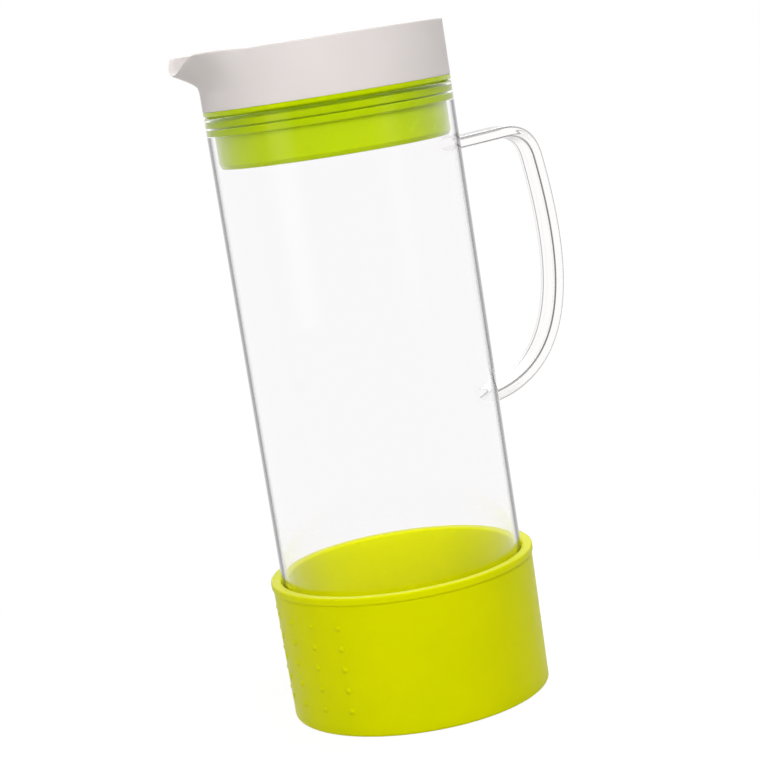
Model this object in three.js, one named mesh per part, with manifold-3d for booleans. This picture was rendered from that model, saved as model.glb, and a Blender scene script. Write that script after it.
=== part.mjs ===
// Water pitcher: a glass jug with a strap handle, standing in a soft boot and closed by a push-in lid.
// Millimetres, +Z up. The origin is the middle of the boot's underside.
// The handle points along +X, the beak along -X and the boot's bare panel along -Y.

import * as THREE from 'three';
import { mergeVertices } from 'three/addons/utils/BufferGeometryUtils.js';
import Module from 'manifold-3d';

const wasm = await Module();
wasm.setup();

// Fits and facets

const clearance = 0.3; // gap between pieces that fit together
const joinTolerance = 1e-4; // points of a mesh nearer than this are one point
const turnSteps = 48; // facets round a full turn
const cornerSteps = 4; // facets round a rounded edge
const handleSteps = [9, 7, 22]; // facets along the handle's arm, bend and sweep

// Glass jug

const glassRadius = 50; // outside
const glassWall = 1.8;
const glassFloor = 4;
const glassHeight = 245;
const glassHeel = 6; // radius of the outer bottom edge
const glassBowl = 4; // radius of the inner bottom edge

// Strap handle

const strapWidth = 14;
const strapThickness = 4.7;
const strapEdge = 2; // radius of the strap's long edges
const handleReach = 37.7; // from the glass wall to the strap's middle at its furthest
const handleDrop = 27; // from the glass rim down to the upper weld
const handleSpan = 106; // from the upper weld down to the lower weld
const armRise = 2.6; // how far the upper arm climbs on its way out
const armCorner = 12.6; // length of the bend on each side of the upper corner
const cornerInset = 4.7; // how far the upper corner stays inside the reach
const sweepOut = 3.6; // how far the sweep's upper control point lies beyond the reach
const sweepBelly = 34; // how far that point lies below the bend
const sweepFoot = 9; // how far the lower control point lies above the lower weld
const weldFlare = 0.3; // growth of the strap's section at a weld, as a share
const weldLength = 7; // how far from the wall the growth fades

// Silicone boot

const bootWall = 3.7;
const bootFloor = 4;
const bootHeight = 57.5;
const bootCorner = 5; // radius of the outer bottom edge
const heelRelief = 1.5; // how much tighter the inner bottom edge is than the glass heel
const beadHeight = 3.4; // rim bead
const beadProud = 0.6;
const dotRadius = 1.1; // grip dots
const dotHeight = 0.6;
const dotSink = 0.5; // how deep a dot's root lies in the wall
const dotPitch = 8.63; // between rows
const dotFoot = 10.7; // lowest row above the underside
const dotHeadroom = 7; // kept free between the top row and the bead
const dotColumns = 24; // round a full turn, the bare panel's share left out
const panelHalfAngle = 45; // degrees, the bare panel's half width
const dotSides = 5;

// Silicone stopper

const flangeThickness = 2;
const collarDepth = 21.2; // from the flange's underside to the collar's bottom
const collarInset = 1.35; // from the glass bore to the collar
const collarChamfer = 2.4;
const stopperWall = 2.6;
const finCount = 2;
const finThickness = 1.8;
const finTip = 0.9; // thickness at the fin's edge
const finPitch = 3;
const finDrop = 2.6; // first fin below the glass rim

// Lid cap and its beak

const capHeight = 22.2;
const capWall = 2.2;
const capTop = 2.4;
const snapProud = 0.8; // bead that holds the plug in the cap
const snapHeight = 1.2;
const beakReach = 12; // beyond the cap wall
const beakHalfAngle = 38; // degrees, where the beak leaves the round wall
const beakDepth = 15.5; // below the cap's top, where the beak has merged into the wall
const beakHollow = 1.6; // power of the curve under the beak
const beakBlunt = 1.2; // 1 for a pointed beak, more for a blunt one
const mouthDepth = 6; // dip of the rim at the beak's tip
const mouthHalfAngle = 16; // degrees
const lipRise = 0.8; // climb of the rim beside the mouth
const beakSteps = 20; // facets across the beak
const beakLevels = 6; // facets from the beak's rim down to the plain wall

// Plug and strainer inside the stopper

const plugWall = 2.4;
const plugFlange = 2;
const plugRecess = 1; // the plug's end inside the collar
const strainerPlate = 2.4;
const strainerSeat = 1.2; // depth of the seat cut into the plug's wall
const slotWidth = 2.4;
const barWidth = 2.4;
const slotMargin = 4; // plate left whole beside the plug's bore

// Sizes that follow

const degree = Math.PI / 180;
const glassBore = glassRadius - glassWall;
const bootBore = glassRadius + clearance;
const bootRadius = bootBore + bootWall;
const bootBowl = glassHeel - heelRelief;
const collarRadius = glassBore - collarInset;
const finRadius = glassBore - clearance;
const stopperBore = collarRadius - stopperWall;
const plugRadius = stopperBore - clearance;
const plugBore = plugRadius - plugWall;
const strainerBore = plugBore + strainerSeat;
const strainerRadius = strainerBore - clearance;
const capRadius = glassRadius;
const capBore = capRadius - capWall;

// Heights in the lid, above the glass rim

const flangeUnder = clearance;
const capUnder = flangeUnder + flangeThickness;
const capCrown = capUnder + capHeight;
const collarUnder = flangeUnder - collarDepth;
const plugUnder = collarUnder + plugRecess;

// Finishes

const silicone = new THREE.MeshStandardMaterial({ color: 0xb9d70c, roughness: 0.5, metalness: 0 });
const plastic = new THREE.MeshStandardMaterial({ color: 0xdcd8d6, roughness: 0.4, metalness: 0 });
const glass = new THREE.MeshStandardMaterial({
  color: 0xf2f7f6, roughness: 0.03, metalness: 0, transparent: true, opacity: 0.35,
});

// Helpers

// Points of a round edge in a profile: a circle's arc from one angle to another, in degrees.
function arc(x, y, radius, from, to) {
  const points = [];
  for (let i = 0; i <= cornerSteps; i += 1) {
    const angle = (from + ((to - from) * i) / cornerSteps) * degree;
    points.push([x + radius * Math.cos(angle), y + radius * Math.sin(angle)]);
  }
  return points;
}

// Turns a profile of [radius, height] points round the Z axis. The points run counter-clockwise.
function turned(profile) {
  const points = profile.map(([radius, height]) => new THREE.Vector2(radius, height));
  return new THREE.LatheGeometry(points, turnSteps).rotateX(Math.PI / 2);
}

// The same for a ring, whose profile closes on itself.
function turnedRing(profile) {
  return turned([...profile, profile[0]]);
}

// A skin over rings of equal numbers of points, closed by end caps or, for a full turn, on itself.
function skinned(rings, fullTurn) {
  const count = rings[0].length;
  const positions = rings.flat(2);
  const faces = [];
  const spans = fullTurn ? rings.length : rings.length - 1;
  for (let i = 0; i < spans; i += 1) {
    const near = i * count;
    const far = ((i + 1) % rings.length) * count;
    for (let j = 0; j < count; j += 1) {
      const next = (j + 1) % count;
      faces.push(near + j, far + j, far + next, near + j, far + next, near + next);
    }
  }
  if (!fullTurn) {
    const last = (rings.length - 1) * count;
    for (let j = 1; j < count - 1; j += 1) {
      faces.push(0, j, j + 1, last, last + j + 1, last + j);
    }
  }
  const geometry = new THREE.BufferGeometry();
  geometry.setAttribute('position', new THREE.Float32BufferAttribute(positions, 3));
  geometry.setIndex(faces);
  return geometry;
}

function toSolid(geometry) {
  const bare = geometry.clone();
  bare.deleteAttribute('normal');
  bare.deleteAttribute('uv');
  const merged = mergeVertices(bare, joinTolerance);
  return new wasm.Manifold(new wasm.Mesh({
    numProp: 3,
    vertProperties: new Float32Array(merged.attributes.position.array),
    triVerts: new Uint32Array(merged.index.array),
  }));
}

function toGeometry(solid) {
  const mesh = solid.getMesh();
  const geometry = new THREE.BufferGeometry();
  geometry.setAttribute('position', new THREE.BufferAttribute(mesh.vertProperties, 3));
  geometry.setIndex(new THREE.BufferAttribute(mesh.triVerts, 1));
  return geometry;
}

function named(name, geometry, material) {
  const mesh = new THREE.Mesh(geometry, material);
  mesh.name = name;
  return mesh;
}

// Glass jug: a plain cylinder with a rounded heel and a rim melted round. Its underside is at height 0.
function glassBody() {
  const rim = glassWall / 2;
  return turned([
    [0, 0],
    ...arc(glassRadius - glassHeel, glassHeel, glassHeel, -90, 0),
    ...arc(glassRadius - rim, glassHeight - rim, rim, 0, 180),
    ...arc(glassBore - glassBowl, glassFloor + glassBowl, glassBowl, 0, -90),
    [0, glassFloor],
  ]);
}

// Middle line of the handle in the XZ plane: a rising arm, a tight bend and a long sweep back to the wall.
function handlePath() {
  const reach = glassRadius + handleReach;
  const upper = glassHeight - handleDrop;
  const lower = upper - handleSpan;
  const root = glassRadius - glassWall;
  const corner = new THREE.Vector3(reach - cornerInset, 0, upper + armRise);
  const arm = new THREE.Vector3(root, 0, upper).sub(corner).setLength(armCorner).add(corner);
  const sweepTop = new THREE.Vector3(reach + sweepOut, 0, corner.z - armCorner - sweepBelly);
  const bend = sweepTop.clone().sub(corner).setLength(armCorner).add(corner);
  const path = new THREE.CurvePath();
  path.add(new THREE.LineCurve3(new THREE.Vector3(root, 0, upper), arm));
  path.add(new THREE.QuadraticBezierCurve3(arm, corner, bend));
  path.add(new THREE.CubicBezierCurve3(
    bend,
    sweepTop,
    new THREE.Vector3(sweepTop.x, 0, lower + sweepFoot),
    new THREE.Vector3(root, 0, lower),
  ));
  return path;
}

// Strap section as offsets [along Y, across the strap]: a rectangle with rounded edges.
function strapSection(growth) {
  const y = (strapWidth * growth) / 2;
  const t = (strapThickness * growth) / 2;
  const edge = Math.min(strapEdge, t);
  const section = [];
  for (const [sideY, sideT, from] of [[1, 1, 0], [-1, 1, 90], [-1, -1, 180], [1, -1, 270]]) {
    for (const angle of [from, from + 45, from + 90]) {
      section.push([
        sideY * (y - edge) + edge * Math.cos(angle * degree),
        sideT * (t - edge) + edge * Math.sin(angle * degree),
      ]);
    }
  }
  return section;
}

// Strap handle, thicker towards its welds and cut to the round of the glass wall.
function glassHandle() {
  const rings = [];
  handlePath().curves.forEach((curve, index) => {
    const steps = handleSteps[index];
    for (let i = index ? 1 : 0; i <= steps; i += 1) {
      const at = curve.getPoint(i / steps);
      const along = curve.getTangent(i / steps);
      const fromWall = Math.max(at.x - glassRadius, 0);
      const growth = 1 + weldFlare * Math.exp(-((fromWall / weldLength) ** 2));
      rings.push(strapSection(growth).map(([y, across]) => [
        at.x + across * along.z,
        y,
        at.z - across * along.x,
      ]));
    }
  });
  const wall = turned([
    [0, 0],
    [glassRadius + clearance, 0],
    [glassRadius + clearance, glassHeight],
    [0, glassHeight],
  ]);
  return toGeometry(toSolid(skinned(rings, false)).subtract(toSolid(wall)));
}

// Boot: a cup with a rim bead, and grip dots in rows round all but its bare panel.
function baseSleeve() {
  const rim = bootRadius + beadProud - bootBore;
  const crest = bootHeight - rim / 2;
  const cup = turned([
    [0, 0],
    ...arc(bootRadius - bootCorner, bootCorner, bootCorner, -90, 0),
    [bootRadius, bootHeight - beadHeight],
    [bootRadius + beadProud, bootHeight - beadHeight + beadProud],
    ...arc(bootBore + rim / 2, crest, rim / 2, 0, 180),
    ...arc(bootBore - bootBowl, bootFloor + bootBowl, bootBowl, 0, -90),
    [0, bootFloor],
  ]);
  let solid = toSolid(cup);
  const dot = new THREE.CylinderGeometry(dotRadius / 2, dotRadius, dotHeight + dotSink, dotSides);
  dot.rotateZ(-Math.PI / 2).translate(bootRadius + (dotHeight - dotSink) / 2, 0, 0);
  const rows = Math.floor((bootHeight - beadHeight - dotHeadroom - dotFoot) / dotPitch) + 1;
  for (let column = 0; column < dotColumns; column += 1) {
    const fromPanel = ((column + 0.5) * 360) / dotColumns;
    if (Math.min(fromPanel, 360 - fromPanel) < panelHalfAngle) continue;
    for (let row = 0; row < rows; row += 1) {
      const placed = dot.clone().rotateZ((fromPanel - 90) * degree);
      solid = solid.add(toSolid(placed.translate(0, 0, dotFoot + row * dotPitch)));
    }
  }
  return toGeometry(solid);
}

// Stopper: a flange on the glass rim, fins against the bore and a plain collar below them.
function stopperSeal() {
  const fins = [];
  for (let i = finCount - 1; i >= 0; i -= 1) {
    const middle = -finDrop - i * finPitch;
    fins.push(
      [collarRadius, middle - finThickness / 2],
      [finRadius, middle - finTip / 2],
      [finRadius, middle + finTip / 2],
      [collarRadius, middle + finThickness / 2],
    );
  }
  return turnedRing([
    [stopperBore, collarUnder],
    [collarRadius - collarChamfer / 2, collarUnder],
    [collarRadius, collarUnder + collarChamfer],
    ...fins,
    [collarRadius, flangeUnder],
    [capRadius, flangeUnder],
    [capRadius, capUnder],
    [stopperBore, capUnder],
  ]);
}

// A smooth bump over an angle from the beak's axis: 1 on the axis and 0 from the half angle on.
function bump(angle, halfAngle) {
  const share = Math.min(Math.abs(angle) / halfAngle, 1) ** beakBlunt;
  return Math.cos((share * Math.PI) / 2) ** 2;
}

// Share of the beak's reach at a depth below the cap's top: full down to the tip, then drawn in.
function beakDraw(depth) {
  const share = THREE.MathUtils.clamp((depth - mouthDepth) / (beakDepth - mouthDepth), 0, 1);
  return (1 - share) ** beakHollow;
}

// Depth of the cap's rim below its top at an angle from the beak's axis.
function rimDepth(angle) {
  const rise = lipRise * THREE.MathUtils.smoothstep(beakHalfAngle - Math.abs(angle), 0, mouthHalfAngle);
  return (mouthDepth + lipRise) * bump(angle, mouthHalfAngle) - rise;
}

// Section of the cap's wall at an angle from the beak's axis, as [radius, height] points.
function capSection(angle) {
  const top = rimDepth(angle);
  const snap = capUnder + plugFlange + clearance;
  const inner = [
    [capBore, snap + snapHeight],
    [capBore - snapProud, snap + snapHeight / 2],
    [capBore, snap],
    [capBore, capUnder],
  ];
  const rising = [];
  for (let level = beakLevels; level >= 0; level -= 1) {
    const depth = top + ((beakDepth - top) * level) / beakLevels;
    rising.push([beakReach * bump(angle, beakHalfAngle) * beakDraw(depth), capCrown - depth]);
  }
  return [
    [capRadius, capUnder],
    ...rising.map(([out, height]) => [capRadius + out, height]),
    ...rising.reverse().map(([out, height]) => [capBore + out, height]),
    ...inner,
  ];
}

// Cap: a round wall drawn out into a beak, under a flat top that stops short of the beak's channel.
function lidCap() {
  const angles = [];
  for (let i = 0; i < beakSteps; i += 1) {
    angles.push(beakHalfAngle * ((2 * i) / beakSteps - 1));
  }
  const plain = 360 - 2 * beakHalfAngle;
  const plainSteps = Math.round((turnSteps * plain) / 360);
  for (let i = 0; i < plainSteps; i += 1) {
    angles.push(beakHalfAngle + (plain * i) / plainSteps);
  }
  const rings = angles.map((angle) => {
    const fromBeak = angle > 180 ? angle - 360 : angle;
    return capSection(fromBeak).map(([radius, height]) => [
      -radius * Math.cos(angle * degree),
      -radius * Math.sin(angle * degree),
      height,
    ]);
  });
  const top = turned([
    [0, capCrown - capTop],
    [capBore + capWall / 2, capCrown - capTop],
    [capBore + capWall / 2, capCrown],
    [0, capCrown],
  ]);
  return toGeometry(toSolid(skinned(rings, true)).add(toSolid(top)));
}

// Plug: a stiff tube inside the stopper, with a flange that the cap snaps over and a seat for the strainer.
function lidPlug() {
  return turnedRing([
    [strainerBore, plugUnder],
    [plugRadius, plugUnder],
    [plugRadius, capUnder],
    [capBore - clearance, capUnder],
    [capBore - clearance, capUnder + plugFlange],
    [plugBore, capUnder + plugFlange],
    [plugBore, plugUnder + strainerPlate],
    [strainerBore, plugUnder + strainerPlate],
  ]);
}

// Strainer: a flat disc pressed into the plug's end, with slots across it.
function lidStrainer() {
  let solid = toSolid(turned([
    [0, plugUnder],
    [strainerRadius, plugUnder],
    [strainerRadius, plugUnder + strainerPlate],
    [0, plugUnder + strainerPlate],
  ]));
  const open = plugBore - slotMargin;
  const pitch = slotWidth + barWidth;
  const side = Math.floor((open - slotWidth / 2) / pitch);
  for (let i = -side; i <= side; i += 1) {
    const edge = Math.abs(i) * pitch + slotWidth / 2;
    const length = 2 * Math.sqrt(open ** 2 - edge ** 2);
    const slot = new THREE.BoxGeometry(slotWidth, length, 2 * strainerPlate);
    solid = solid.subtract(toSolid(slot.translate(i * pitch, 0, plugUnder + strainerPlate / 2)));
  }
  return toGeometry(solid);
}

// Assembly

const lid = new THREE.Group();
lid.position.z = glassHeight;
lid.add(
  named('stopper_seal', stopperSeal(), silicone),
  named('lid_cap', lidCap(), plastic),
  named('lid_plug', lidPlug(), plastic),
  named('lid_strainer', lidStrainer(), plastic),
);

const jug = new THREE.Group();
jug.position.z = bootFloor;
jug.add(named('glass_body', glassBody(), glass), named('glass_handle', glassHandle(), glass), lid);

const pitcher = new THREE.Group();
pitcher.add(named('base_sleeve', baseSleeve(), silicone), jug);

export default pitcher;
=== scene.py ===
"""Looks of a glass water pitcher: a clear jug with a strap handle, in a silicone boot and closed by a lid.

Metres, +Z up. The handle points along +X, the pouring beak along -X and the boot's bare panel along -Y.
"""

import math

import bpy
import numpy as np
from mathutils import Matrix, Vector


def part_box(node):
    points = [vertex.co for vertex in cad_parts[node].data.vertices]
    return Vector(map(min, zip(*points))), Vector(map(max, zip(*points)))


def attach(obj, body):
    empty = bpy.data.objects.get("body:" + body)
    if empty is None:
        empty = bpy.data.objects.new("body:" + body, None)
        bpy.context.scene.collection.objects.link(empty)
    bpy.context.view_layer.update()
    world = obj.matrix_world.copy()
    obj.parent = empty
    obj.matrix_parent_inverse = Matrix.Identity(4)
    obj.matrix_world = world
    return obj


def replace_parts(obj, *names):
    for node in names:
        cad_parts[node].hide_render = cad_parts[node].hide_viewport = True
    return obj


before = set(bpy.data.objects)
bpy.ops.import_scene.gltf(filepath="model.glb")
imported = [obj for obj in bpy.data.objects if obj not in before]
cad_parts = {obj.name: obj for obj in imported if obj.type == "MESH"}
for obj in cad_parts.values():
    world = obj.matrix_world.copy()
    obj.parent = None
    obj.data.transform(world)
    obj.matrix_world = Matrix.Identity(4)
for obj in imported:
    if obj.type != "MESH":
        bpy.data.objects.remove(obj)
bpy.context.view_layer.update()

# Facets

TURN_STEPS = 192  # round a full turn
ARC_STEPS = 8  # round a rounded edge
SPARE = 0.4  # spare point beside a rounded edge, as a share of its fillet
TINY = 1e-7  # points nearer than this are one point

# Glass jug

GLASS_WALL = 0.0018
GLASS_FLOOR = 0.004
GLASS_HEEL = 0.006  # radius of the outer bottom edge
GLASS_BOWL = 0.004  # radius of the inner bottom edge
GLASS_BENDING = 1.47  # index of refraction
WELD_BENDING = 1.02  # low, so that the welds melt into the wall
GLASS_GLOSS = 0.15  # share of the glass's gloss seen straight on
STREAK_WIDTH = 0.012  # of the faint waves that drawing leaves in glass
STREAK_LENGTH = 0.2
STREAK_DEPTH = 0.00002

# Strap handle

STRAP_WIDTH = 0.015
STRAP_THICKNESS = 0.0049
STRAP_EDGE = 0.002  # radius of the strap's long edges
PAINTED_LINE_SLANT = 0.6  # the painted dark line, a painted shade on a long edge, is where both parts of its direction are over this
HANDLE_REACH = 0.03775  # from the glass wall to the strap's middle at its furthest
HANDLE_DROP = 0.0265  # from the glass rim down to the upper weld
HANDLE_SPAN = 0.106  # from the upper weld down to the lower weld
ARM_RISE = 0.0021  # how far the upper arm climbs on its way out
ARM_CORNER = 0.0128  # length of the bend on each side of the upper corner
CORNER_INSET = 0.0046  # how far the upper corner stays inside the reach
SWEEP_OUT = 0.0034  # how far the sweep's upper control point lies beyond the reach
SWEEP_BELLY = 0.041  # how far that point lies below the bend
SWEEP_FOOT = 0.006  # how far the lower control point lies above the lower weld
WELD_FILLET = 0.0018  # radius of the round where the strap meets the wall
WELD_SETTLE = 0.009  # how far from the wall the strap's end follows the wall's curve
WELD_GAP = 0.00004  # between the strap's end and the wall
PATH_SAMPLES = 600  # of each stretch of the handle's middle line
STRAP_STEPS = 200  # rings along the strap
WELD_STEPS = 14  # rings along each weld's round

# Silicone boot

BOOT_WALL = 0.0037
BOOT_GAP = 0.0003  # between the boot and the glass
BOOT_FLOOR = 0.004
BOOT_TAPER = 0.0006  # by which the boot is narrower at its foot
BOOT_CORNER = 0.001  # radius of the outer bottom edge
BOOT_RIM = 0.0011  # radius of the rim's inner edge
BOOT_EDGE = 0.0006  # radius of its outer edge
BOOT_BOWL = 0.0045  # radius of the inner bottom edge
BEAD_HEIGHT = 0.0034
BEAD_PROUD = 0.0006
BEAD_GROOVE = 0.00022  # depth of the line under the bead
BEAD_ROUND = 0.0005  # radius of the bead's lower edge
DOT_RADIUS = 0.0019
DOT_HEIGHT = 0.0006
DOT_SINK = 0.0002  # how deep a dot's edge lies in the wall
DOT_PITCH = 0.00863  # between rows
DOT_FOOT = 0.0107  # lowest row above the underside
DOT_ROWS = 5
DOT_COLUMNS = 24  # round a full turn, the bare panel's share left out
DOT_RINGS = 5
DOT_SIDES = 14
DOT_ROUND = 1.2  # power of a dot's dome, 0.5 for a ball's
PANEL_FROM = -50  # degrees from -Y, the bare panel's side towards the beak
PANEL_TO = 75  # degrees, its side towards the handle

# Silicone stopper

FLANGE_THICKNESS = 0.002
COLLAR_INSET = 0.00135  # from the glass bore to the collar
COLLAR_CHAMFER = 0.0018
STOPPER_WALL = 0.0026
FIN_COUNT = 2
FIN_THICKNESS = 0.003
FIN_TIP = 0.0027  # thickness at the fin's edge
FIN_PITCH = 0.0033
FIN_DROP = 0.0029  # first fin below the glass rim
FIN_SQUEEZE = 0.00004  # how far a fin presses into the bore
SOFT_EDGE = 0.0003  # radius of the stopper's edges

# Lid cap and its beak

CAP_WALL = 0.0022
CAP_TOP = 0.002
CAP_RECESS = 0.0004  # of the top below the wall's rim
CAP_SEAT = 0.0008  # how far the top reaches into the wall
CAP_EDGE = 0.0006  # radius of the rim's edges
CAP_FOOT_EDGE = 0.0003  # radius of the lower edges
SNAP_LOW = 0.0023  # bead that holds the plug, above the cap's lower edge
SNAP_HIGH = 0.0035
SNAP_PROUD = 0.0008
BEAK_REACH = 0.012  # beyond the cap wall
BEAK_HALF_ANGLE = 38  # degrees, where the beak leaves the round wall
BEAK_DEPTH = 0.0155  # below the cap's top, where the beak has merged into the wall
BEAK_NOSE = 1.15  # power that rounds the beak off below the mouth
BEAK_HOLLOW = 2.0  # power of the hollow under the beak
BEAK_BLUNT = 1.2  # 1 for a pointed beak, more for a blunt one
MOUTH_DEPTH = 0.006  # dip of the rim at the beak's tip
MOUTH_HALF_ANGLE = 16  # degrees
LIP_RISE = 0.0008  # climb of the rim beside the mouth
BEAK_STEPS = 120  # facets across the beak
PLAIN_STEPS = 160  # facets round the rest of the cap
BEAK_LEVELS = 36
WALL_LEVELS = 4

# Plug and strainer

PLUG_WALL = 0.0024
PLUG_FLANGE = 0.002
PLUG_GAP = 0.0003  # between the plug and the stopper
STRAINER_SEAT = 0.0012  # depth of the seat cut into the plug's wall
SLOT_PITCH = 0.0048
BAR_WIDTH = 0.0024
SLOT_MARGIN = 0.004  # plate left whole beside the plug's bore
HARD_EDGE = 0.0004  # radius of moulded edges

# Places that the frame gives

boot_low, boot_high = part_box("base_sleeve")
glass_low, glass_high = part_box("glass_body")
stopper_low, stopper_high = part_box("stopper_seal")
cap_low, cap_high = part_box("lid_cap")
plug_low, plug_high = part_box("lid_plug")
strainer_low, strainer_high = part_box("lid_strainer")

glass_radius = glass_high.x
glass_bore = glass_radius - GLASS_WALL
boot_bore = glass_radius + BOOT_GAP
boot_radius = boot_bore + BOOT_WALL
collar_radius = glass_bore - COLLAR_INSET
fins_low = glass_high.z - FIN_DROP - (FIN_COUNT - 1) * FIN_PITCH - FIN_THICKNESS / 2
stopper_bore = collar_radius - STOPPER_WALL
plug_radius = stopper_bore - PLUG_GAP
plug_bore = plug_radius - PLUG_WALL
cap_radius = cap_high.x
cap_crown = cap_high.z - LIP_RISE

# View and light

CAMERA_AZIMUTH = -20  # degrees, where the photograph was taken from
CAMERA_DISTANCE = 0.8429  # from the jug's axis
CAMERA_HEIGHT = 0.2667
CAMERA_PITCH = 9.0  # degrees below the horizon
CAMERA_YAW = 0.21  # degrees to the right of the axis
CAMERA_ROLL = 9.05  # degrees clockwise, so that the jug leans to the left
CAMERA_LENS = 98.95  # mm on a 36 mm sensor
FILL_STRENGTH = 0.15  # the world's light on the object
FLOOR_HALF_SIDE = 6.0
FLOOR_DROP = 0.0002  # below the boot's underside
FLOOR_TONE = 0.6
SHADOW_NEAR = 0.1  # from the axis, where the floor's shadow starts to fade
SHADOW_FAR = 0.34  # where it has gone
SHADOW_SHARE = 0.22  # how much of the shadow the floor keeps
NEAR_GLOW = 1.17  # lift of the floor's white where it keeps the shadow
SOFTBOX_CORE = 0.2  # share of a soft box from its middle that is at full strength
SOFTBOXES = {  # degrees from the camera, degrees up, distance, width, height, radiance
    "front_softbox": (6, 45, 1.5, 1.5, 1.0, 7.2),
    "right_softbox": (51, 6, 1.3, 0.6, 1.2, 2.2),
    "left_softbox": (-48, 6, 1.3, 0.8, 1.2, 4.3),
    "back_softbox": (180, 35, 1.4, 1.6, 1.2, 3.5),
    "top_softbox": (70, 62, 1.2, 1.0, 1.0, 2.6),
}
GLASS_BOUNCES = 24  # light paths long enough for the strap's inner reflections
LAMP_AIM = Vector((0, 0, 0.14))


# Surfaces: points with their faces, as arrays


def grid_quads(rows, columns, wrap_rows):
    """Faces of a grid, each from a point to the next column, the next row and back. Columns go all round."""
    index = np.arange(rows * columns).reshape(rows, columns)
    index = np.hstack([index, index[:, :1]])
    if wrap_rows:
        index = np.vstack([index, index[:1]])
    corners = [index[:-1, :-1], index[:-1, 1:], index[1:, 1:], index[1:, :-1]]
    return np.stack(corners, axis=-1).reshape(-1, 4)


def fan(middle, ring, outward):
    """Triangles from a middle point to a ring, seen turning left from outside if outward, or else right."""
    following = np.roll(ring, -1)
    middles = np.full(len(ring), middle)
    pair = [ring, following] if outward else [following, ring]
    return np.stack([middles, *pair], axis=-1)


def joined(*surfaces):
    """One surface of several: points stacked, and each face's numbers moved on by the points before it."""
    starts = np.cumsum([0] + [len(points) for points, groups in surfaces])
    points = np.vstack([points for points, groups in surfaces])
    faces = [group + start for (_, groups), start in zip(surfaces, starts) for group in groups]
    return points, faces


def rounded(corners):
    """Outline with rounded corners, each given as (across, up, fillet).

    A corner becomes the circle's arc that leaves one side a fillet before it and meets the other a fillet
    after: the rational curve of start, corner and end with the weight cos(half the turn) on the corner. A
    spare point beyond each end of the arc keeps the flats flat in shading. Points that repeat are
    dropped.
    """
    corners = np.asarray(corners, float)
    place, fillet = corners[:, :2], corners[:, 2:]
    ahead = np.roll(place, -1, axis=0) - place
    length = np.linalg.norm(ahead, axis=1, keepdims=True)
    after = ahead / length
    before = -np.roll(after, 1, axis=0)
    free_after = length - fillet - np.roll(fillet, -1, axis=0)
    free_before = np.roll(free_after, 1, axis=0)
    weight = np.sqrt((1 - (before * after).sum(axis=1)) / 2)[:, None, None]
    step = np.linspace(0, 1, ARC_STEPS + 1)[None, :, None]
    first, middle, last = (1 - step) ** 2, 2 * weight * step * (1 - step), step**2
    start, end = place + fillet * before, place + fillet * after
    arc = (first * start[:, None] + middle * place[:, None] + last * end[:, None]) / (first + middle + last)
    lead = start + np.minimum(SPARE * fillet, free_before / 3) * before
    trail = end + np.minimum(SPARE * fillet, free_after / 3) * after
    outline = np.concatenate([lead[:, None], arc, trail[:, None]], axis=1).reshape(-1, 2)
    apart = np.linalg.norm(outline - np.roll(outline, 1, axis=0), axis=1)
    return outline[apart > TINY]


def turned(outline):
    """Turned piece: each outline point (r, h) goes round the Z axis as (r cos a, r sin a, h).

    An outline that starts and ends on the axis has one point there, with a fan of triangles. Any other closes
    on itself.
    """
    ring = outline[:, 0] > TINY
    closed = bool(ring.all())
    radius, height = outline[ring].T
    angle = np.linspace(0, 2 * np.pi, TURN_STEPS, endpoint=False)
    x, y = np.outer(radius, np.cos(angle)), np.outer(radius, np.sin(angle))
    z = np.outer(height, np.ones(TURN_STEPS))
    points = np.stack([x, y, z], axis=-1).reshape(-1, 3)
    quads = grid_quads(len(radius), TURN_STEPS, closed)
    if closed:
        return points, [quads]
    poles = np.array([[0, 0, outline[~ring, 1].min()], [0, 0, outline[~ring, 1].max()]])
    turn = np.arange(TURN_STEPS)
    foot = fan(len(points), turn, False)
    crown = fan(len(points) + 1, len(points) - TURN_STEPS + turn, True)
    return np.vstack([points, poles]), [quads, foot, crown]


def bore_faces(surface, radius, floor):
    """Which faces of a turned cup lie inside a radius and no lower than its floor."""
    points, groups = surface
    middles = np.vstack([points[group].mean(axis=1) for group in groups])
    return (np.hypot(middles[:, 0], middles[:, 1]) < radius) & (middles[:, 2] > floor - TINY)


def bezier(controls, step):
    """Points of a Bezier curve: neighbouring control points are blended by the step until one is left."""
    step = step[None, :, None]
    level = np.asarray(controls, float)[:, None, :] * np.ones_like(step)
    while len(level) > 1:
        level = (1 - step) * level[:-1] + step * level[1:]
    return level[0]


def add_piece(name, surface, body, materials, pick=None):
    """Makes a smooth mesh of a surface that rides on its body, with pick choosing each face's material."""
    points, groups = surface
    mesh = bpy.data.meshes.new(name)
    mesh.from_pydata(points.tolist(), [], [face for group in groups for face in group.tolist()])
    for material in materials:
        mesh.materials.append(material)
    mesh.polygons.foreach_set("use_smooth", np.ones(len(mesh.polygons), bool))
    if pick is not None:
        mesh.polygons.foreach_set("material_index", pick.astype(np.int32))
    mesh.update()
    piece = bpy.data.objects.new(name, mesh)
    bpy.context.scene.collection.objects.link(piece)
    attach(piece, body)
    return piece


# Shapes


def jug_surface():
    """Glass cylinder, rounded at heel and rim, and each face's finish: 0 outside, 1 bore, 2 by the fins."""
    rim = GLASS_WALL / 2
    surface = turned(rounded([
        (0, glass_low.z, 0),
        (glass_radius, glass_low.z, GLASS_HEEL),
        (glass_radius, fins_low, 0),
        (glass_radius, glass_high.z, rim),
        (glass_bore, glass_high.z, rim),
        (glass_bore, glass_low.z + GLASS_FLOOR, GLASS_BOWL),
        (0, glass_low.z + GLASS_FLOOR, 0),
    ]))
    points, groups = surface
    height = np.concatenate([points[group][..., 2].mean(axis=1) for group in groups])
    in_bore = bore_faces(surface, glass_radius - rim, glass_low.z + GLASS_FLOOR)
    return surface, np.where(in_bore, 1, np.where(height > fins_low, 2, 0))


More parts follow.
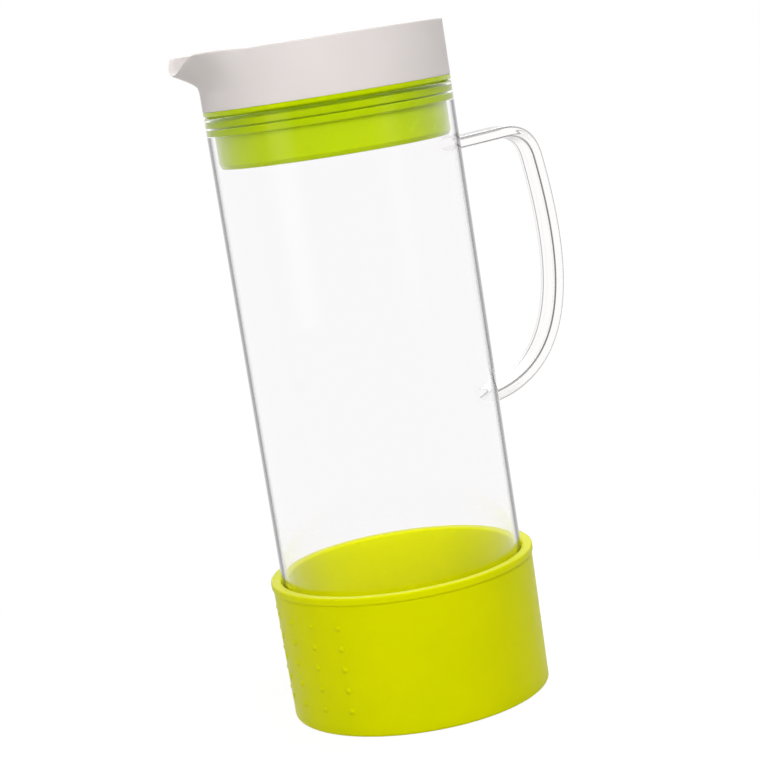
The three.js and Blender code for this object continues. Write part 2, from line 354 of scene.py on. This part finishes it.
def handle_line():
    """Middle line of the handle in the XZ plane, from wall to wall, with finer steps at the welds.

    A straight arm climbs to a rounded corner, a quadratic curve turns it down, and a cubic curve sweeps
    it back.
    """
    wall = glass_radius + WELD_GAP
    reach = glass_radius + HANDLE_REACH
    upper = glass_high.z - HANDLE_DROP
    lower = upper - HANDLE_SPAN
    root = np.array([glass_bore, upper])
    corner = np.array([reach - CORNER_INSET, upper + ARM_RISE])
    belly = np.array([reach + SWEEP_OUT, corner[1] - ARM_CORNER - SWEEP_BELLY])
    arm = corner + ARM_CORNER * (root - corner) / np.linalg.norm(root - corner)
    bend = corner + ARM_CORNER * (belly - corner) / np.linalg.norm(belly - corner)
    step = np.linspace(0, 1, PATH_SAMPLES)
    line = np.vstack([
        bezier([root, arm], step)[:-1],
        bezier([arm, corner, bend], step)[:-1],
        bezier([bend, belly, [belly[0], lower + SWEEP_FOOT], [glass_bore, lower]], step),
    ])
    along = np.concatenate([[0], np.cumsum(np.linalg.norm(np.diff(line, axis=0), axis=1))])
    outside = np.flatnonzero(line[:, 0] > wall)
    first, last = outside[0], outside[-1]
    start = np.interp(wall, line[first - 1 : first + 1, 0], along[first - 1 : first + 1])
    end = np.interp(wall, line[last : last + 2, 0][::-1], along[last : last + 2][::-1])
    weld = np.linspace(0, WELD_FILLET, WELD_STEPS, endpoint=False)
    stations = np.concatenate([
        start + weld,
        np.linspace(start + WELD_FILLET, end - WELD_FILLET, STRAP_STEPS),
        end - weld[::-1],
    ])
    return np.stack([np.interp(stations, along, side) for side in line.T], axis=-1)


def handle_surface():
    """Strap carried along the handle's line, and each face's finish: 0 flats, 1 welds, 2 long edges, painted
    dark as shade.

    It is a rounded rectangle square to the line, widened at the wall by a quarter round.

    At distance d from the wall the section grows by w (1 - sqrt(1 - (1 - d / w)^2)), with w the weld's
    radius, and the rings next to the wall are drawn on to its curve, by a share that fades with distance.
    """
    wall = glass_radius + WELD_GAP
    line = handle_line()
    tangent = np.gradient(line, axis=0)
    tangent /= np.linalg.norm(tangent, axis=1, keepdims=True)
    half_width, half_thickness = STRAP_WIDTH / 2, STRAP_THICKNESS / 2
    section = rounded([
        (half_width, -half_thickness, STRAP_EDGE),
        (half_width, half_thickness, STRAP_EDGE),
        (-half_width, half_thickness, STRAP_EDGE),
        (-half_width, -half_thickness, STRAP_EDGE),
    ])
    outward = np.roll(section, -1, axis=0) - np.roll(section, 1, axis=0)
    outward = np.stack([outward[:, 1], -outward[:, 0]], axis=-1)
    outward /= np.linalg.norm(outward, axis=1, keepdims=True)
    from_wall = np.maximum(line[:, 0] - wall, 0)
    growth = WELD_FILLET * (1 - np.sqrt(1 - np.clip(1 - from_wall / WELD_FILLET, 0, 1) ** 2))
    grown = section[None] + growth[:, None, None] * outward[None]
    wide, across = grown[..., 0], grown[..., 1]
    x = line[:, :1] + across * tangent[:, 1:]
    z = line[:, 1:] - across * tangent[:, :1]
    settle = np.clip(1 - from_wall / WELD_SETTLE, 0, 1)[:, None] ** 2
    x = (1 - settle) * x + settle * (np.sqrt(wall**2 - wide**2) + from_wall[:, None])
    points = np.stack([x, wide, z], axis=-1).reshape(-1, 3)
    rings, sides = x.shape
    ends = np.array([[wall, 0, line[0, 1]], [wall, 0, line[-1, 1]]])
    turn = np.arange(sides)
    first = fan(len(points), turn, True)
    last = fan(len(points) + 1, (rings - 1) * sides + turn, False)
    near = (from_wall[:-1] + from_wall[1:]) / 2 < WELD_FILLET
    facing = outward + np.roll(outward, -1, axis=0)
    facing /= np.linalg.norm(facing, axis=1, keepdims=True)
    # faces on a long edge get the painted dark line
    painted_line_faces = np.abs(facing).min(axis=1) > PAINTED_LINE_SLANT
    finish = np.where(near[:, None], 1, np.where(painted_line_faces, 2, 0))
    finish = np.concatenate([finish.ravel(), np.ones(2 * sides, int)])
    return (np.vstack([points, ends]), [grid_quads(rings, sides, False)[:, ::-1], first, last]), finish


def boot_surface():
    """Cup turned from a rounded outline, with a line under its rim bead, and which faces are in its bore."""
    bead = boot_high.z - BEAD_HEIGHT
    bead_radius = boot_radius + BEAD_PROUD
    surface = turned(rounded([
        (0, boot_low.z, 0),
        (boot_radius - BOOT_TAPER, boot_low.z, BOOT_CORNER),
        (boot_radius, bead - BEAD_ROUND, BEAD_GROOVE / 2),
        (boot_radius - BEAD_GROOVE, bead, BEAD_GROOVE / 3),
        (bead_radius, bead + BEAD_ROUND, BEAD_ROUND),
        (bead_radius, boot_high.z, BOOT_EDGE),
        (boot_bore, boot_high.z, BOOT_RIM),
        (boot_bore, boot_low.z + BOOT_FLOOR, BOOT_BOWL),
        (0, boot_low.z + BOOT_FLOOR, 0),
    ]))
    return surface, bore_faces(surface, boot_bore + BOOT_RIM / 2, boot_low.z + BOOT_FLOOR)


def dot_surface():
    """Grip dots on the boot: at share p of its radius a dome stands out by its height times (1 - p^2)^power.

    Every dome is sunk a little into the wall, turned to its column's angle and lifted to its row, and
    closed behind.
    """
    share = np.linspace(0, 1, DOT_RINGS + 1)[1:, None]
    turn = np.linspace(0, 2 * np.pi, DOT_SIDES, endpoint=False)
    side = (DOT_RADIUS * share * np.cos(turn)).ravel()
    up = (DOT_RADIUS * share * np.sin(turn)).ravel()
    out = ((DOT_HEIGHT + DOT_SINK) * (1 - share**2) ** DOT_ROUND - DOT_SINK + 0 * turn).ravel()
    side, up = np.append(side, [0, 0]), np.append(up, [0, 0])
    out = boot_radius + np.append(out, [DOT_HEIGHT, -DOT_SINK])
    from_panel = (np.arange(DOT_COLUMNS) + 0.5) * 360 / DOT_COLUMNS
    from_panel = from_panel[(from_panel > PANEL_TO) & (from_panel < 360 + PANEL_FROM)]
    angle, height = np.meshgrid(np.radians(from_panel - 90), DOT_FOOT + DOT_PITCH * np.arange(DOT_ROWS))
    angle, height = angle.reshape(-1, 1), height.reshape(-1, 1)
    out = out - BOOT_TAPER * (1 - height / (boot_high.z - boot_low.z))
    x = out * np.cos(angle) - side * np.sin(angle)
    y = out * np.sin(angle) + side * np.cos(angle)
    points = np.stack([x, y, boot_low.z + height + up], axis=-1)
    ring = np.arange(DOT_SIDES)
    edge = (DOT_RINGS - 1) * DOT_SIDES + ring
    tip, back = DOT_RINGS * DOT_SIDES, DOT_RINGS * DOT_SIDES + 1
    dome = [grid_quads(DOT_RINGS, DOT_SIDES, False)[:, ::-1], fan(tip, ring, True), fan(back, edge, False)]
    starts = len(side) * np.arange(len(points))[:, None, None]
    return points.reshape(-1, 3), [(group[None] + starts).reshape(-1, group.shape[1]) for group in dome]


def stopper_surface():
    """Ring turned from a rounded outline: a collar with a chamfered foot, fins and a flange."""
    under, top = stopper_low.z, stopper_high.z
    fin_radius = glass_bore + FIN_SQUEEZE
    corners = [
        (stopper_bore, under, SOFT_EDGE),
        (collar_radius - COLLAR_CHAMFER / 2, under, SOFT_EDGE),
        (collar_radius, under + COLLAR_CHAMFER, SOFT_EDGE),
    ]
    for fin in reversed(range(FIN_COUNT)):
        middle = glass_high.z - FIN_DROP - fin * FIN_PITCH
        corners += [
            (collar_radius, middle - FIN_THICKNESS / 2, SOFT_EDGE),
            (fin_radius, middle - FIN_TIP / 2, SOFT_EDGE),
            (fin_radius, middle + FIN_TIP / 2, SOFT_EDGE),
            (collar_radius, middle + FIN_THICKNESS / 2, SOFT_EDGE),
        ]
    corners += [
        (collar_radius, top - FLANGE_THICKNESS, SOFT_EDGE),
        (stopper_high.x, top - FLANGE_THICKNESS, 2 * SOFT_EDGE),
        (stopper_high.x, top, SOFT_EDGE),
        (stopper_bore, top, SOFT_EDGE),
    ]
    return turned(rounded(corners))


def bump(angle, half_angle):
    """Smooth bump over an angle: squared cosine of a quarter turn times (angle / half angle) to a power."""
    share = np.minimum(np.abs(angle) / half_angle, 1) ** BEAK_BLUNT
    return np.cos(share * np.pi / 2) ** 2


def rim_depth(angle):
    """Depth of the cap's rim: the mouth's bump less a low lip that climbs beside it by a smooth step."""
    climb = np.clip((BEAK_HALF_ANGLE - np.abs(angle)) / MOUTH_HALF_ANGLE, 0, 1)
    lip = LIP_RISE * climb**2 * (3 - 2 * climb)
    return (MOUTH_DEPTH + LIP_RISE) * bump(angle, MOUTH_HALF_ANGLE) - lip


def beak_draw(angle, depth):
    """Share of the beak's reach at a depth: 1 at the rim, then a rounded nose and a hollow down to 0."""
    start = rim_depth(angle)
    share = np.clip((depth - start) / (BEAK_DEPTH - start), 0, 1)
    return (1 - share**BEAK_NOSE) ** BEAK_HOLLOW


def cap_stations(height):
    """Stations of the cap's section, from its lower edge up the outside, over the rim and down the inside.

    Each is (share, level, inset): its depth is the share of the rim's depth plus the level, and it lies inset
    from the wall's outside.
    """
    quarter = np.linspace(0, np.pi / 2, ARC_STEPS)
    rise = np.linspace(0, 1, BEAK_LEVELS)
    plain = np.linspace(height - 2 * CAP_FOOT_EDGE, BEAK_DEPTH, WALL_LEVELS, endpoint=False)
    snap = np.linspace(0, 1, 2 * ARC_STEPS)

    def stretch(share, level, inset):
        return np.stack(np.broadcast_arrays(share, level, inset), axis=-1)

    foot = stretch(0, height - CAP_FOOT_EDGE * (1 - np.cos(quarter)), CAP_FOOT_EDGE * (1 - np.sin(quarter)))
    rim = stretch(1, CAP_EDGE * (1 - np.sin(quarter)), CAP_EDGE * (1 - np.cos(quarter)))
    climb = stretch(rise, (1 - rise) * BEAK_DEPTH + rise * CAP_EDGE, 0)
    outside = np.vstack([foot, stretch(0, plain, 0), climb[:-1], rim])
    mirrored = np.vstack([foot, climb[:-1], rim])[::-1]
    mirrored[:, 2] = CAP_WALL - mirrored[:, 2]
    over, below = mirrored[: -ARC_STEPS], mirrored[-ARC_STEPS:]
    snap_level = height - SNAP_HIGH + snap * (SNAP_HIGH - SNAP_LOW)
    bead = stretch(0, snap_level, CAP_WALL + SNAP_PROUD * np.sin(np.pi * snap) ** 2)
    return np.vstack([outside, over, bead, below]).T[:, :, None]


def cap_surface():
    """Cap: a wall on a grid of angles and stations, drawn out into a beak, and a turned top let into it.

    At an angle from the beak the radius is the cap's, plus the reach times the bump times the draw at
    that depth, less the station's inset. The top stops short of the beak, so a mouth stays open there.
    """
    beak = np.linspace(-BEAK_HALF_ANGLE, BEAK_HALF_ANGLE, BEAK_STEPS, endpoint=False)
    plain = np.linspace(BEAK_HALF_ANGLE, 360 - BEAK_HALF_ANGLE, PLAIN_STEPS, endpoint=False)
    angle = np.concatenate([beak, plain])
    from_beak = (angle + 180) % 360 - 180
    share, level, inset = cap_stations(cap_crown - cap_low.z)
    depth = share * rim_depth(from_beak) + level
    reach = BEAK_REACH * bump(from_beak, BEAK_HALF_ANGLE) * beak_draw(from_beak, depth)
    radius = cap_radius + reach - inset
    turn = np.radians(angle)
    points = np.stack([-radius * np.cos(turn), -radius * np.sin(turn), cap_crown - depth], axis=-1)
    wall = points.reshape(-1, 3), [grid_quads(*depth.shape, True)]
    edge = cap_radius - CAP_WALL + CAP_SEAT
    crown = cap_crown - CAP_RECESS
    top = turned(rounded([
        (0, crown - CAP_TOP, 0),
        (edge, crown - CAP_TOP, HARD_EDGE),
        (edge, crown, HARD_EDGE),
        (0, crown, 0),
    ]))
    return joined(wall, top)


def plug_surface():
    """Stiff tube turned from a rounded outline, with a flange on top and a seat for the strainer below."""
    seat_bore = plug_bore + STRAINER_SEAT
    return turned(rounded([
        (seat_bore, plug_low.z, HARD_EDGE / 2),
        (plug_radius, plug_low.z, HARD_EDGE),
        (plug_radius, plug_high.z - PLUG_FLANGE, HARD_EDGE),
        (plug_high.x, plug_high.z - PLUG_FLANGE, HARD_EDGE),
        (plug_high.x, plug_high.z, HARD_EDGE),
        (plug_bore, plug_high.z, HARD_EDGE),
        (plug_bore, strainer_high.z, HARD_EDGE),
        (seat_bore, strainer_high.z, HARD_EDGE / 2),
    ]))


def strainer_surface():
    """Grille: a turned ring crossed by bars, each a rounded rectangle carried from one side to the other."""
    low, high, radius = strainer_low.z, strainer_high.z, strainer_high.x
    opening = plug_bore - SLOT_MARGIN
    ring = turned(rounded([
        (opening, low, HARD_EDGE),
        (radius, low, HARD_EDGE),
        (radius, high, HARD_EDGE),
        (opening, high, HARD_EDGE),
    ]))
    half = BAR_WIDTH / 2
    across, up = rounded([
        (-half, low, HARD_EDGE), (half, low, HARD_EDGE), (half, high, HARD_EDGE), (-half, high, HARD_EDGE),
    ]).T
    side = int((opening - half) / SLOT_PITCH)
    middle = (np.arange(-side - 1, side + 1) + 0.5) * SLOT_PITCH
    reach = np.sqrt(opening**2 - (np.abs(middle) - half) ** 2) + half
    ends = np.array([1, -1])[None, :, None] * reach[:, None, None]
    x, y, z = np.broadcast_arrays(middle[:, None, None] + across, ends, up)
    points = np.stack([x, y, z], axis=-1)
    sides = len(across)
    bar = [grid_quads(2, sides, False)]
    caps = [np.arange(sides)[None, ::-1], sides + np.arange(sides)[None]]
    starts = 2 * sides * np.arange(len(middle))[:, None, None]
    bars = [(group[None] + starts).reshape(-1, group.shape[1]) for group in bar + caps]
    return joined(ring, (points.reshape(-1, 3), bars))


# Finishes


def add_node(tree, kind, inputs=None, **settings):
    """Adds a shader node, with its settings and, for each input, a value or a link."""
    node = tree.nodes.new("ShaderNode" + kind)
    for name, value in settings.items():
        setattr(node, name, value)
    for name, value in (inputs or {}).items():
        if isinstance(value, bpy.types.NodeSocket):
            tree.links.new(value, node.inputs[name])
        else:
            node.inputs[name].default_value = value
    return node


def new_group(name, inputs, outputs):
    """Empty node group with float sockets, and its input and output nodes."""
    group = bpy.data.node_groups.new(name, "ShaderNodeTree")
    for socket in inputs:
        group.interface.new_socket(socket, in_out="INPUT", socket_type="NodeSocketFloat")
    for socket in outputs:
        group.interface.new_socket(socket, in_out="OUTPUT", socket_type="NodeSocketFloat")
    return group, group.nodes.new("NodeGroupInput"), group.nodes.new("NodeGroupOutput")


def moulded_skin():
    """Group for moulded surfaces: tone drift, gloss patches and fine grain, from noise at three sizes."""
    names = ["Tone", "Gloss", "Grain"]
    group, given, found = new_group("moulded_skin", [name + " Size" for name in names], names)
    place = add_node(group, "TexCoord").outputs["Object"]
    for name in names:
        scale = add_node(group, "Math", {0: 1.0, 1: given.outputs[name + " Size"]}, operation="DIVIDE")
        noise = add_node(group, "TexNoise", {"Vector": place, "Scale": scale.outputs[0], "Detail": 2.0})
        group.links.new(noise.outputs[0], found.inputs[name])
    return group


def drawn_streaks():
    """Group for drawn glass: a faint waviness that is long along Z and short round the tube."""
    group, given, found = new_group("drawn_streaks", ["Width", "Length"], ["Height"])
    place = add_node(group, "TexCoord").outputs["Object"]
    wide = add_node(group, "Math", {0: 1.0, 1: given.outputs["Width"]}, operation="DIVIDE")
    long = add_node(group, "Math", {0: 1.0, 1: given.outputs["Length"]}, operation="DIVIDE")
    scale = add_node(group, "CombineXYZ", {0: wide.outputs[0], 1: wide.outputs[0], 2: long.outputs[0]})
    stretched = add_node(group, "VectorMath", {0: place, 1: scale.outputs[0]}, operation="MULTIPLY")
    noise = add_node(group, "TexNoise", {"Vector": stretched.outputs[0], "Scale": 1.0, "Detail": 1.0})
    group.links.new(noise.outputs[0], found.inputs["Height"])
    return group


def new_material(name):
    """Material with an empty node tree and its output node."""
    material = bpy.data.materials.new(name)
    material.use_nodes = True
    material.node_tree.nodes.clear()
    return material, material.node_tree, add_node(material.node_tree, "OutputMaterial")


def moulded(name, skin, pale, deep, sizes, rough, depth, settings):
    """Moulded finish: two near tones drift into each other, gloss varies a little, with a fine grain."""
    material, tree, out = new_material(name)
    look = add_node(tree, "Group", node_tree=skin)
    for socket, size in sizes.items():
        look.inputs[socket].default_value = size
    tone = add_node(tree, "MapRange", {0: look.outputs["Tone"], 1: 0.35, 2: 0.65})
    colour = add_node(tree, "Mix", data_type="RGBA")
    tree.links.new(tone.outputs[0], colour.inputs[0])
    colour.inputs[6].default_value = (*deep, 1)
    colour.inputs[7].default_value = (*pale, 1)
    gloss = add_node(tree, "MapRange", {0: look.outputs["Gloss"], 1: 0.3, 2: 0.7, 3: rough[0], 4: rough[1]})
    grain = add_node(tree, "Bump", {"Strength": 1.0, "Distance": depth, "Height": look.outputs["Grain"]})
    shader = add_node(tree, "BsdfPrincipled", {
        "Base Color": colour.outputs[2],
        "Roughness": gloss.outputs[0],
        "Normal": grain.outputs[0],
        **settings,
    })
    tree.links.new(shader.outputs[0], out.inputs["Surface"])
    return material


def clear_glass(name, streaks, tint, edge, painted_shade_range, bending):
    """Clear glass: its tint turns dark where it is seen at a slant, a painted shade on its edges, and lamp
    light passes through.
    """
    material, tree, out = new_material(name)
    wave = add_node(tree, "Group", node_tree=streaks)
    wave.inputs["Width"].default_value = STREAK_WIDTH
    wave.inputs["Length"].default_value = STREAK_LENGTH
    uneven = add_node(tree, "Bump", {"Strength": 1.0, "Distance": STREAK_DEPTH, "Height": wave.outputs[0]})
    # painted shade: the colour goes from tint to edge as the surface turns away, drawing dark edge lines
    slant = add_node(tree, "LayerWeight", {"Blend": 0.5})
    least, most = painted_shade_range
    painted_shade_share = add_node(tree, "MapRange", {0: slant.outputs["Facing"], 1: least, 2: most})
    colour = add_node(tree, "Mix", data_type="RGBA")
    tree.links.new(painted_shade_share.outputs[0], colour.inputs[0])
    colour.inputs[6].default_value = (*tint, 1)
    colour.inputs[7].default_value = (*edge, 1)
    shader = add_node(tree, "BsdfPrincipled", {
        "Base Color": colour.outputs[2],
        "Roughness": 0.0,
        "IOR": bending,
        "Specular Tint": (GLASS_GLOSS, GLASS_GLOSS, GLASS_GLOSS, 1),
        "Transmission Weight": 1.0,
        "Normal": uneven.outputs[0],
    })
    path = add_node(tree, "LightPath")
    through = add_node(tree, "BsdfTransparent", {"Color": (1, 1, 1, 1)})
    lamp_ray = path.outputs["Is Shadow Ray"]
    mix = add_node(tree, "MixShader", {0: lamp_ray, 1: shader.outputs[0], 2: through.outputs[0]})
    tree.links.new(mix.outputs[0], out.inputs["Surface"])
    return material


# Studio


def studio_strength(tree, lit):
    """Strength a ray meets: 1 where camera, gloss or glass shows the background, and lit once scattered."""
    path = add_node(tree, "LightPath").outputs
    shown = add_node(tree, "Math", {0: path["Is Camera Ray"], 1: path["Is Glossy Ray"]}, operation="MAXIMUM")
    shown = add_node(tree, "Math", {0: shown.outputs[0], 1: path["Is Transmission Ray"]}, operation="MAXIMUM")
    unscattered = add_node(tree, "Math", {0: path["Diffuse Depth"], 1: 0.5}, operation="LESS_THAN")
    shown = add_node(tree, "Math", {0: shown.outputs[0], 1: unscattered.outputs[0]}, operation="MULTIPLY")
    return add_node(tree, "Mix", {0: shown.outputs[0], 2: lit, 3: 1.0}).outputs[0]


def add_world():
    """White background that lights the object only as far as the fill strength."""
    world = bpy.data.worlds.new("studio")
    bpy.context.scene.world = world
    world.use_nodes = True
    tree = world.node_tree
    tree.nodes.clear()
    background = add_node(tree, "Background", {"Strength": studio_strength(tree, FILL_STRENGTH)})
    background.inputs["Color"].default_value = (1, 1, 1, 1)
    out = add_node(tree, "OutputWorld")
    tree.links.new(background.outputs[0], out.inputs["Surface"])


def add_floor():
    """Pale floor that keeps the object's shadow near it and fades into the white background further out."""
    mesh = bpy.data.meshes.new("floor")
    corner = np.array([[-1, -1], [1, -1], [1, 1], [-1, 1]]) * FLOOR_HALF_SIDE
    mesh.from_pydata(np.column_stack([corner, np.full(4, -FLOOR_DROP)]).tolist(), [], [[0, 1, 2, 3]])
    floor = bpy.data.objects.new("floor", mesh)
    bpy.context.scene.collection.objects.link(floor)
    material, tree, out = new_material("studio_floor")
    place = add_node(tree, "TexCoord").outputs["Object"]
    away = add_node(tree, "VectorMath", {0: place}, operation="LENGTH")
    reach = {0: away.outputs["Value"], 1: SHADOW_NEAR, 2: SHADOW_FAR}
    far = add_node(tree, "MapRange", reach, interpolation_type="SMOOTHSTEP").outputs[0]
    keep = add_node(tree, "MapRange", {0: far, 3: 1 - SHADOW_SHARE, 4: 1.0})
    lift = add_node(tree, "MapRange", {0: far, 3: NEAR_GLOW, 4: 1.0})
    shown = studio_strength(tree, 0.0)
    strength = add_node(tree, "Math", {0: lift.outputs[0], 1: shown}, operation="MULTIPLY")
    glow = add_node(tree, "Emission", {"Strength": strength.outputs[0]})
    bare = add_node(tree, "BsdfDiffuse", {"Color": (FLOOR_TONE, FLOOR_TONE, FLOOR_TONE, 1)})
    path = add_node(tree, "LightPath").outputs
    unscattered = add_node(tree, "Math", {0: path["Diffuse Depth"], 1: 0.5}, operation="LESS_THAN")
    share = add_node(tree, "Math", {0: unscattered.outputs[0], 1: keep.outputs[0]}, operation="MULTIPLY")
    mix = add_node(tree, "MixShader", {0: share.outputs[0], 1: bare.outputs[0], 2: glow.outputs[0]})
    tree.links.new(mix.outputs[0], out.inputs["Surface"])
    mesh.materials.append(material)


def add_softbox(name, azimuth, elevation, distance, width, height, radiance):
    """Soft box that faces the object from an azimuth and elevation in degrees, and dims towards its sides.

    Its power is radiance times pi times area.
    """
    lamp = bpy.data.lights.new(name, "AREA")
    lamp.use_nodes = True
    tree = lamp.node_tree
    tree.nodes.clear()
    place = add_node(tree, "SeparateXYZ", {0: add_node(tree, "NewGeometry").outputs["Parametric"]})
    dimming = []
    for side in place.outputs[:2]:
        from_middle = add_node(tree, "MapRange", {0: side, 3: -1.0, 4: 1.0})
        apart = add_node(tree, "Math", {0: from_middle.outputs[0]}, operation="ABSOLUTE")
        fade = {0: apart.outputs[0], 1: SOFTBOX_CORE, 2: 1.0, 3: 1.0, 4: 0.0}
        dim = add_node(tree, "MapRange", fade, interpolation_type="SMOOTHSTEP")
        dimming.append(dim.outputs[0])
    strength = add_node(tree, "Math", {0: dimming[0], 1: dimming[1]}, operation="MULTIPLY")
    emission = add_node(tree, "Emission", {"Strength": strength.outputs[0]})
    tree.links.new(emission.outputs[0], add_node(tree, "OutputLight").inputs[0])
    lamp.shape = "RECTANGLE"
    lamp.size, lamp.size_y = width, height
    lamp.energy = radiance * math.pi * width * height
    softbox = bpy.data.objects.new(name, lamp)
    turn, rise = math.radians(azimuth), math.radians(elevation)
    back = Vector((math.sin(turn) * math.cos(rise), -math.cos(turn) * math.cos(rise), math.sin(rise)))
    softbox.location = LAMP_AIM + distance * back
    softbox.rotation_euler = (-back).to_track_quat("-Z", "Y").to_euler()
    softbox.visible_camera = False
    softbox.visible_transmission = False
    bpy.context.scene.collection.objects.link(softbox)


def add_camera():
    """Camera at the photograph's view: turned round the jug, swung aside, pitched down and rolled."""
    turn, pitch = math.radians(CAMERA_AZIMUTH), math.radians(CAMERA_PITCH)
    swing, roll = math.radians(CAMERA_YAW), math.radians(CAMERA_ROLL)
    right = Vector((math.cos(turn), math.sin(turn), 0))
    ahead = Vector((-math.sin(turn), math.cos(turn), 0))
    place = -CAMERA_DISTANCE * ahead + Vector((0, 0, CAMERA_HEIGHT))
    right, ahead = (
        right * math.cos(swing) - ahead * math.sin(swing),
        ahead * math.cos(swing) + right * math.sin(swing),
    )
    up = Vector((0, 0, math.cos(pitch))) + ahead * math.sin(pitch)
    ahead = ahead * math.cos(pitch) - Vector((0, 0, math.sin(pitch)))
    right, up = right * math.cos(roll) - up * math.sin(roll), up * math.cos(roll) + right * math.sin(roll)
    camera = bpy.data.objects.new("camera", bpy.data.cameras.new("camera"))
    camera.data.lens = CAMERA_LENS
    camera.data.sensor_width = 36
    camera.matrix_world = Matrix.Translation(place) @ Matrix((right, up, -ahead)).transposed().to_4x4()
    bpy.context.scene.collection.objects.link(camera)
    bpy.context.scene.camera = camera


# Assembly

bpy.context.scene.view_settings.view_transform = "Standard"
bpy.context.scene.cycles.max_bounces = GLASS_BOUNCES
bpy.context.scene.cycles.glossy_bounces = GLASS_BOUNCES
bpy.context.scene.cycles.transmission_bounces = GLASS_BOUNCES
add_camera()
add_world()
add_floor()
for softbox, (from_camera, *rest) in SOFTBOXES.items():
    add_softbox(softbox, CAMERA_AZIMUTH + from_camera, *rest)

skin = moulded_skin()
streaks = drawn_streaks()
silicone_gloss = {"IOR": 1.41, "Specular IOR Level": 0.12, "Specular Tint": (1, 1, 0, 1)}
silicone_depth = {
    "Subsurface Weight": 0.35,
    "Subsurface Radius": (0.007, 0.007, 0.0005),
    "Subsurface Scale": 1.0,
}
boot_sizes = {"Tone Size": 0.03, "Gloss Size": 0.008, "Grain Size": 0.0005}
boot_silicone = moulded(
    "boot_silicone", skin, (0.75, 0.77, 0.0), (0.72, 0.755, 0.0), boot_sizes, (0.36, 0.46), 0.00002,
    {**silicone_gloss, **silicone_depth})
# painted light: the lining is a paler copy of the boot's silicone, so the inside looks as bright as the
# outside
painted_light_lining = moulded(
    "painted_light_lining", skin, (0.91, 0.95, 0.0), (0.88, 0.93, 0.0), boot_sizes, (0.2, 0.3), 0.00001,
    {**silicone_gloss, **silicone_depth})
dot_silicone = moulded(
    "dot_silicone", skin, (0.73, 0.755, 0.0), (0.70, 0.74, 0.0), boot_sizes,
    (0.36, 0.46), 0.00002, silicone_gloss)
stopper_silicone = moulded(
    "stopper_silicone", skin, (0.56, 0.74, 0.0), (0.52, 0.71, 0.0),
    {"Tone Size": 0.02, "Gloss Size": 0.008, "Grain Size": 0.0005}, (0.2, 0.28), 0.000015,
    {**silicone_gloss, **silicone_depth, "Specular IOR Level": 0.5})
lid_plastic = moulded(
    "lid_plastic", skin, (0.795, 0.74, 0.72), (0.765, 0.71, 0.69),
    {"Tone Size": 0.04, "Gloss Size": 0.01, "Grain Size": 0.0006}, (0.42, 0.52), 0.00001,
    {"IOR": 1.49, "Specular IOR Level": 0.25})
# edge colours are painted shade at a slant: near black outside, grey in the bore, by the fins and on the
# strap, almost none at the welds
outer_glass = clear_glass(
    "outer_glass", streaks, (0.965, 0.96, 0.965), (0.01, 0.009, 0.009), (0.7, 0.78), GLASS_BENDING)
rim_glass = clear_glass(
    "rim_glass", streaks, (0.965, 0.96, 0.965), (0.6, 0.6, 0.55), (0.85, 1.0), GLASS_BENDING)
bore_glass = clear_glass(
    "bore_glass", streaks, (0.985, 0.98, 0.985), (0.5, 0.49, 0.5), (0.8, 0.95), GLASS_BENDING)
strap_glass = clear_glass(
    "strap_glass", streaks, (0.99, 0.98, 0.975), (0.15, 0.14, 0.14), (0.68, 0.92), GLASS_BENDING)
# painted shade: dark glass on the strap's long edges draws the dark lines of its rounded edges
painted_line_glass = clear_glass(
    "painted_line_glass", streaks, (0.2, 0.19, 0.19), (0.1, 0.09, 0.09), (0.6, 0.95), GLASS_BENDING)
weld_glass = clear_glass(
    "weld_glass", streaks, (0.995, 0.99, 0.99), (0.97, 0.965, 0.965), (0.8, 1.0), WELD_BENDING)

jug, jug_finish = jug_surface()
jug_finishes = [outer_glass, bore_glass, rim_glass]
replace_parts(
    add_piece("jug_glass", jug, "jug", jug_finishes, jug_finish), "glass_body")
strap, strap_finish = handle_surface()
strap_finishes = [strap_glass, weld_glass, painted_line_glass]
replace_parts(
    add_piece("strap_handle", strap, "jug", strap_finishes, strap_finish), "glass_handle")
# the faces in the bore get the paler lining, which is painted light
boot, painted_light_bore = boot_surface()
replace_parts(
    add_piece("boot_shell", boot, "boot", [boot_silicone, painted_light_lining], painted_light_bore),
    "base_sleeve")
add_piece("grip_dots", dot_surface(), "boot", [dot_silicone])
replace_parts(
    add_piece("stopper_ring", stopper_surface(), "stopper", [stopper_silicone]),
    "stopper_seal")
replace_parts(add_piece("cap_shell", cap_surface(), "lid", [lid_plastic]), "lid_cap")
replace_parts(add_piece("plug_tube", plug_surface(), "lid", [lid_plastic]), "lid_plug")
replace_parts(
    add_piece("strainer_grille", strainer_surface(), "lid", [lid_plastic]), "lid_strainer")
